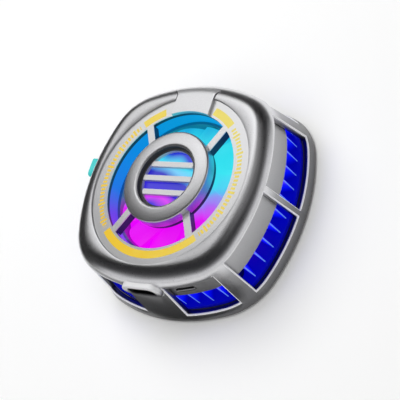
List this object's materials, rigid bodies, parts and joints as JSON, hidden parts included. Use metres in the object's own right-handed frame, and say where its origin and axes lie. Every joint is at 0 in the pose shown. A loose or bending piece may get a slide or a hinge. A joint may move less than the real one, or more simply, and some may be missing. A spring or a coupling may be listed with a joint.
{
  "type": "phone cooling fan",
  "caption": "Squared-off round phone cooler with a lit axial fan behind a spoked face ring, a finned heat sink seen through side windows, and a magnetic cold plate behind.",
  "frame": {"origin": "centre of the cold plate's rear contact face, on the fan axis", "axes": "+Z along the fan axis, out of the spoked face; +Y towards the bridge, away from the socket"},
  "size_m": [0.0648, 0.0648, 0.0221],
  "materials": {
    "housing_silver": "satin metallic silver coat",
    "face_pale": "satin pale grey with yellow print",
    "hub_silver": "satin metallic silver coat",
    "lens_violet": "translucent, lit from behind",
    "guide_clear": "translucent, lit from its edge",
    "fan_clear": "translucent, lit by the guide",
    "key_teal": "translucent",
    "key_grey": "satin",
    "black_plastic": "fine matt",
    "soft_pad": "soft matt",
    "fin_blue": "blue anodised",
    "plate_metal": "brushed",
    "steel": "plain",
    "magnet": "plain",
    "winding": "enamelled copper wire",
    "board": "solder mask",
    "ceramic": "unglazed ceramic",
    "lamp": "clear cap on white"
  },
  "bodies": {
    "housing": {"front_shell": "housing_silver", "face_ring": "face_pale", "hub_ring": "hub_silver", "hub_grille": "face_pale", "hub_lens": "lens_violet", "top_bridge": "face_pale", "socket_frame": "housing_silver", "light_guide": "guide_clear", "light_board": "board", "lamps": "lamp", "bearing_bush": "winding", "stator_core": "steel", "stator_coils": "winding", "fan_frame": "housing_silver", "fan_screws": "steel", "heat_sink": "fin_blue", "module_hot_plate": "ceramic", "module_pellets": "magnet", "module_cold_plate": "ceramic", "gasket": "soft_pad", "cold_plate": "plate_metal", "magnets": "magnet", "rear_cover": "black_plastic", "cover_screws": "steel", "pad_ring": "soft_pad", "main_board": "board", "controller_chips": "black_plastic", "socket_shell": "steel", "socket_tongue": "black_plastic", "mode_switch": "black_plastic", "light_switch": "black_plastic"},
    "fan": {"impeller": "fan_clear", "rotor_yoke": "steel", "rotor_magnet": "magnet", "fan_shaft": "steel", "shaft_clip": "steel"},
    "mode_button": {"mode_key": "key_grey"},
    "light_button": {"light_key": "key_teal"}
  },
  "joints": [
    {"name": "fan_spin", "type": "hinge", "parent": "housing", "child": "fan", "pos_m": [0, 0, 0.0125], "axis": [0, 0, 1], "continuous": true},
    {"name": "mode_press", "type": "slide", "parent": "housing", "child": "mode_button", "axis": [-0.2286, 0.9735, 0], "range_m": [0, 0.0003], "stiffness_N_per_m": 3000},
    {"name": "light_press", "type": "slide", "parent": "housing", "child": "light_button", "axis": [1, 0, 0], "range_m": [0, 0.0003], "stiffness_N_per_m": 3000}
  ]
}
